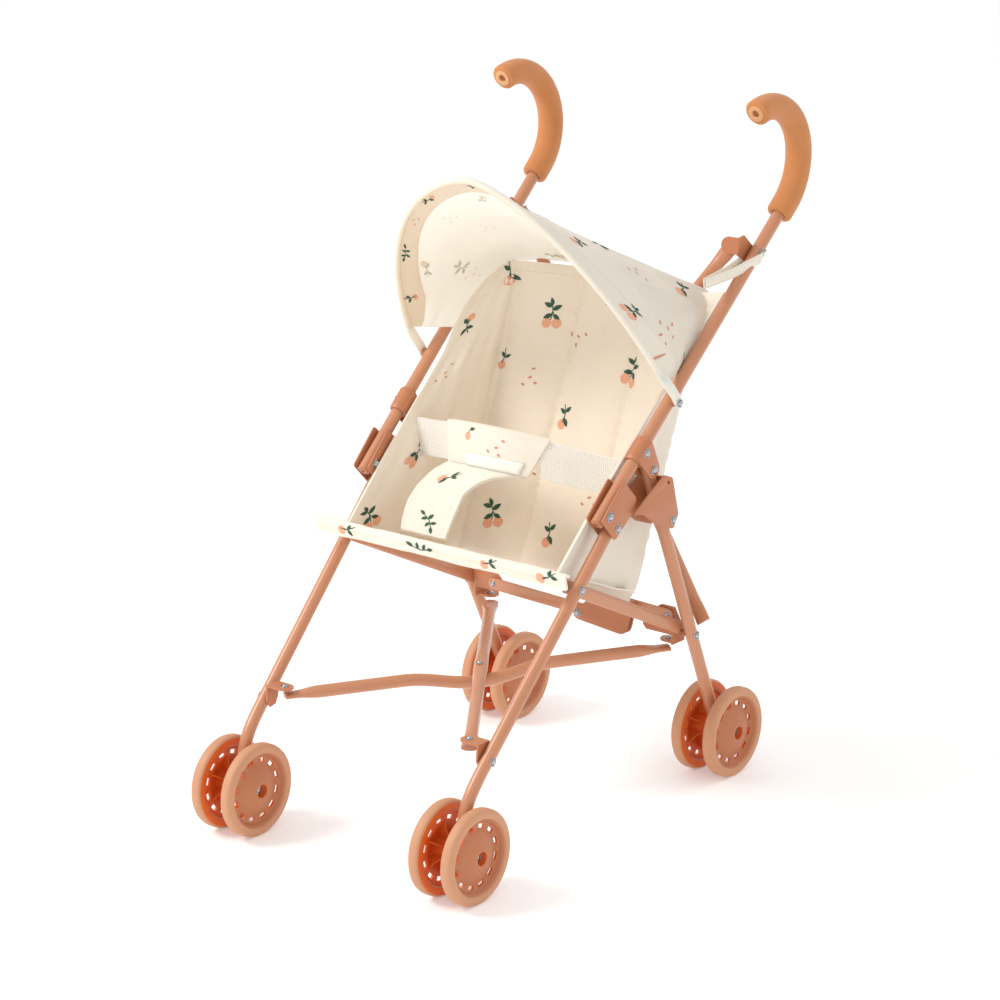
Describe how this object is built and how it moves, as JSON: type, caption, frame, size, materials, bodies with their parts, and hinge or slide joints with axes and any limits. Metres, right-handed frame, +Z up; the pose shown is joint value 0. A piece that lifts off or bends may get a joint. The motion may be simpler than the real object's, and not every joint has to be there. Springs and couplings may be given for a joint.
{
  "type": "doll stroller",
  "caption": "Umbrella-folding doll stroller: crossed steel tube frame, paired wheels, padded hook grips, printed cotton sling seat with belt and sun hood.",
  "frame": {"origin": "on the floor, under the middle of the bounding box", "axes": "+Z up, -Y to the front wheels, +X to the side where the foot lever's long link is short; left nodes are at -X"},
  "size_m": [0.2662, 0.4527, 0.548],
  "materials": {
    "frame_paint": "satin terracotta powder coat",
    "wheel_plastic": "matte peach plastic",
    "grip_foam": "matte closed-cell foam",
    "grip_plug": "satin",
    "bright_steel": "bright zinc",
    "printed_cotton": "plain weave cotton with a small fruit print",
    "webbing": "coarse woven tape",
    "hood_plastic": "milky satin plastic"
  },
  "bodies": {
    "left_frame": {"left_handle_tube": "frame_paint", "left_foam_grip": "grip_foam", "left_grip_plug": "grip_plug", "left_tube_end_plug": "frame_paint", "left_sleeve": "frame_paint", "left_fold_pin": "bright_steel", "left_rear_leg_pin": "bright_steel", "left_top_bar_bracket": "frame_paint", "left_hood_clip": "hood_plastic", "seat_back": "printed_cotton", "left_lap_belt": "webbing", "right_lap_belt": "webbing", "crotch_strap": "printed_cotton", "hood_rear_panel": "printed_cotton"},
    "left_front_leg": {"left_front_leg": "frame_paint", "left_fold_bracket": "frame_paint", "left_front_bar_bracket": "frame_paint", "left_front_axle": "bright_steel"},
    "left_rear_leg": {"left_rear_leg": "frame_paint", "left_rear_bar_bracket": "frame_paint", "left_rear_axle": "bright_steel"},
    "left_lock": {"left_lock_channel": "frame_paint"},
    "left_rail": {"left_side_rail": "frame_paint"},
    "left_lower_bar": {"left_lower_cross_bar": "frame_paint"},
    "left_back_bar": {"left_back_cross_bar": "frame_paint"},
    "left_spreader": {"left_spreader_link": "frame_paint"},
    "left_front_inner_wheel": {"left_front_inner_wheel": "wheel_plastic"},
    "left_front_outer_wheel": {"left_front_outer_wheel": "wheel_plastic"},
    "left_rear_inner_wheel": {"left_rear_inner_wheel": "wheel_plastic"},
    "left_rear_outer_wheel": {"left_rear_outer_wheel": "wheel_plastic"},
    "right_frame": {"right_handle_tube": "frame_paint", "right_foam_grip": "grip_foam", "right_grip_plug": "grip_plug", "right_tube_end_plug": "frame_paint", "right_sleeve": "frame_paint", "right_fold_pin": "bright_steel", "right_rear_leg_pin": "bright_steel", "right_top_bar_bracket": "frame_paint", "right_hood_clip": "hood_plastic"},
    "right_front_leg": {"right_front_leg": "frame_paint", "right_fold_bracket": "frame_paint", "right_front_bar_bracket": "frame_paint", "right_front_axle": "bright_steel"},
    "right_rear_leg": {"right_rear_leg": "frame_paint", "right_rear_bar_bracket": "frame_paint", "right_rear_axle": "bright_steel"},
    "right_lock": {"right_lock_channel": "frame_paint"},
    "right_rail": {"right_side_rail": "frame_paint"},
    "right_lower_bar": {"right_lower_cross_bar": "frame_paint"},
    "right_back_bar": {"right_back_cross_bar": "frame_paint"},
    "right_spreader": {"right_spreader_link": "frame_paint", "spreader_lever": "frame_paint"},
    "right_front_inner_wheel": {"right_front_inner_wheel": "wheel_plastic"},
    "right_front_outer_wheel": {"right_front_outer_wheel": "wheel_plastic"},
    "right_rear_inner_wheel": {"right_rear_inner_wheel": "wheel_plastic"},
    "right_rear_outer_wheel": {"right_rear_outer_wheel": "wheel_plastic"},
    "seat_base": {"seat_bottom": "printed_cotton"},
    "hood": {"hood_bow": "hood_plastic", "hood_front_panel": "printed_cotton"},
    "hood_middle": {"hood_middle_panel": "printed_cotton"}
  },
  "joints": [
    {"name": "umbrella_fold", "type": "slide", "parent": "left_frame", "child": "right_frame", "axis": [-1, 0, 0], "range_m": [0, 0.0824], "deforming": ["seat_back", "seat_bottom", "left_lap_belt", "right_lap_belt", "crotch_strap", "hood_bow", "hood_front_panel", "hood_middle_panel", "hood_rear_panel"]},
    {"name": "left_front_leg_fold", "type": "hinge", "parent": "left_frame", "child": "left_front_leg", "pos_m": [-0.11396, -0.0272, 0.2569], "axis": [1, 0, 0], "range_deg": [-70.2, 0]},
    {"name": "left_rear_leg_fold", "type": "hinge", "parent": "left_frame", "child": "left_rear_leg", "pos_m": [-0.1147, 0.0282, 0.2808], "axis": [1, 0, 0], "range_deg": [-35.1, 0]},
    {"name": "left_rail_fold", "type": "hinge", "parent": "left_front_leg", "child": "left_rail", "pos_m": [-0.10436, -0.0551, 0.2052], "axis": [1, 0, 0], "range_deg": [0, 36]},
    {"name": "left_lower_bar_fold", "type": "hinge", "parent": "left_front_leg", "child": "left_lower_bar", "pos_m": [-0.0904, -0.1566, 0.1042], "axis": [0.7573, -0.138, 0.6383], "range_deg": [0, 27.02]},
    {"name": "left_back_bar_fold", "type": "hinge", "parent": "left_frame", "child": "left_back_bar", "pos_m": [-0.104, 0.1534, 0.43], "axis": [-0.724, 0.66, -0.2005], "range_deg": [0, 21.59]},
    {"name": "left_spreader_fold", "type": "hinge", "parent": "left_rear_leg", "child": "left_spreader", "pos_m": [-0.0774, 0.0857, 0.1344], "axis": [0, -1, 0], "range_deg": [0, 63.5]},
    {"name": "left_lock_release", "type": "hinge", "parent": "left_rear_leg", "child": "left_lock", "pos_m": [-0.11332, 0.0514, 0.236], "axis": [1, 0, 0], "range_deg": [-20, 0]},
    {"name": "left_front_inner_wheel_spin", "type": "hinge", "parent": "left_front_leg", "child": "left_front_inner_wheel", "pos_m": [-0.09204, -0.1896, 0.0368], "axis": [1, 0, 0], "continuous": true},
    {"name": "left_front_outer_wheel_spin", "type": "hinge", "parent": "left_front_leg", "child": "left_front_outer_wheel", "pos_m": [-0.12224, -0.1896, 0.0368], "axis": [1, 0, 0], "continuous": true},
    {"name": "left_rear_inner_wheel_spin", "type": "hinge", "parent": "left_rear_leg", "child": "left_rear_inner_wheel", "pos_m": [-0.09204, 0.1404, 0.0368], "axis": [1, 0, 0], "continuous": true},
    {"name": "left_rear_outer_wheel_spin", "type": "hinge", "parent": "left_rear_leg", "child": "left_rear_outer_wheel", "pos_m": [-0.12224, 0.1404, 0.0368], "axis": [1, 0, 0], "continuous": true},
    {"name": "right_front_leg_fold", "type": "hinge", "parent": "right_frame", "child": "right_front_leg", "pos_m": [0.11396, -0.0272, 0.2569], "axis": [1, 0, 0], "range_deg": [-70.2, 0]},
    {"name": "right_rear_leg_fold", "type": "hinge", "parent": "right_frame", "child": "right_rear_leg", "pos_m": [0.1147, 0.0282, 0.2808], "axis": [1, 0, 0], "range_deg": [-35.1, 0]},
    {"name": "right_rail_fold", "type": "hinge", "parent": "right_front_leg", "child": "right_rail", "pos_m": [0.10436, -0.0551, 0.2052], "axis": [1, 0, 0], "range_deg": [0, 36]},
    {"name": "right_lower_bar_fold", "type": "hinge", "parent": "right_front_leg", "child": "right_lower_bar", "pos_m": [0.0904, -0.1566, 0.1042], "axis": [0.7573, 0.138, -0.6383], "range_deg": [0, 27.02]},
    {"name": "right_back_bar_fold", "type": "hinge", "parent": "right_frame", "child": "right_back_bar", "pos_m": [0.104, 0.1534, 0.43], "axis": [-0.724, -0.66, 0.2005], "range_deg": [0, 21.59]},
    {"name": "right_spreader_fold", "type": "hinge", "parent": "right_rear_leg", "child": "right_spreader", "pos_m": [0.096, 0.0857, 0.1445], "axis": [0, 1, 0], "range_deg": [0, 63.1]},
    {"name": "right_lock_release", "type": "hinge", "parent": "right_rear_leg", "child": "right_lock", "pos_m": [0.11332, 0.0514, 0.236], "axis": [1, 0, 0], "range_deg": [-20, 0]},
    {"name": "right_front_inner_wheel_spin", "type": "hinge", "parent": "right_front_leg", "child": "right_front_inner_wheel", "pos_m": [0.09204, -0.1896, 0.0368], "axis": [1, 0, 0], "continuous": true},
    {"name": "right_front_outer_wheel_spin", "type": "hinge", "parent": "right_front_leg", "child": "right_front_outer_wheel", "pos_m": [0.12224, -0.1896, 0.0368], "axis": [1, 0, 0], "continuous": true},
    {"name": "right_rear_inner_wheel_spin", "type": "hinge", "parent": "right_rear_leg", "child": "right_rear_inner_wheel", "pos_m": [0.09204, 0.1404, 0.0368], "axis": [1, 0, 0], "continuous": true},
    {"name": "right_rear_outer_wheel_spin", "type": "hinge", "parent": "right_rear_leg", "child": "right_rear_outer_wheel", "pos_m": [0.12224, 0.1404, 0.0368], "axis": [1, 0, 0], "continuous": true},
    {"name": "seat_base_fold", "type": "hinge", "parent": "left_frame", "child": "seat_base", "pos_m": [0, 0.0554, 0.1684], "axis": [1, 0, 0], "range_deg": [-14.2, 0]},
    {"name": "hood_tilt", "type": "hinge", "parent": "left_frame", "child": "hood", "pos_m": [0, 0.0544, 0.328], "axis": [1, 0, 0], "range_deg": [-24, 0]},
    {"name": "hood_middle_tilt", "type": "hinge", "parent": "left_frame", "child": "hood_middle", "pos_m": [0, 0.0544, 0.328], "axis": [1, 0, 0], "range_deg": [-12.1, 0]}
  ],
  "couplings": [
    {"joint": "left_front_leg_fold", "follows": "umbrella_fold", "rad_per_m": -14.827},
    {"joint": "left_rear_leg_fold", "follows": "umbrella_fold", "rad_per_m": -7.3922},
    {"joint": "left_rail_fold", "follows": "umbrella_fold", "rad_per_m": 7.5829},
    {"joint": "left_lower_bar_fold", "follows": "umbrella_fold", "rad_per_m": 5.6818},
    {"joint": "left_back_bar_fold", "follows": "umbrella_fold", "rad_per_m": 4.53},
    {"joint": "left_spreader_fold", "follows": "umbrella_fold", "rad_per_m": 13.408},
    {"joint": "right_front_leg_fold", "follows": "umbrella_fold", "rad_per_m": -14.827},
    {"joint": "right_rear_leg_fold", "follows": "umbrella_fold", "rad_per_m": -7.3922},
    {"joint": "right_rail_fold", "follows": "umbrella_fold", "rad_per_m": 7.5829},
    {"joint": "right_lower_bar_fold", "follows": "umbrella_fold", "rad_per_m": 5.6818},
    {"joint": "right_back_bar_fold", "follows": "umbrella_fold", "rad_per_m": 4.53},
    {"joint": "right_spreader_fold", "follows": "umbrella_fold", "rad_per_m": 13.323},
    {"joint": "seat_base_fold", "follows": "umbrella_fold", "rad_per_m": -2.9654},
    {"joint": "hood_middle_tilt", "follows": "hood_tilt", "ratio": 0.5}
  ]
}
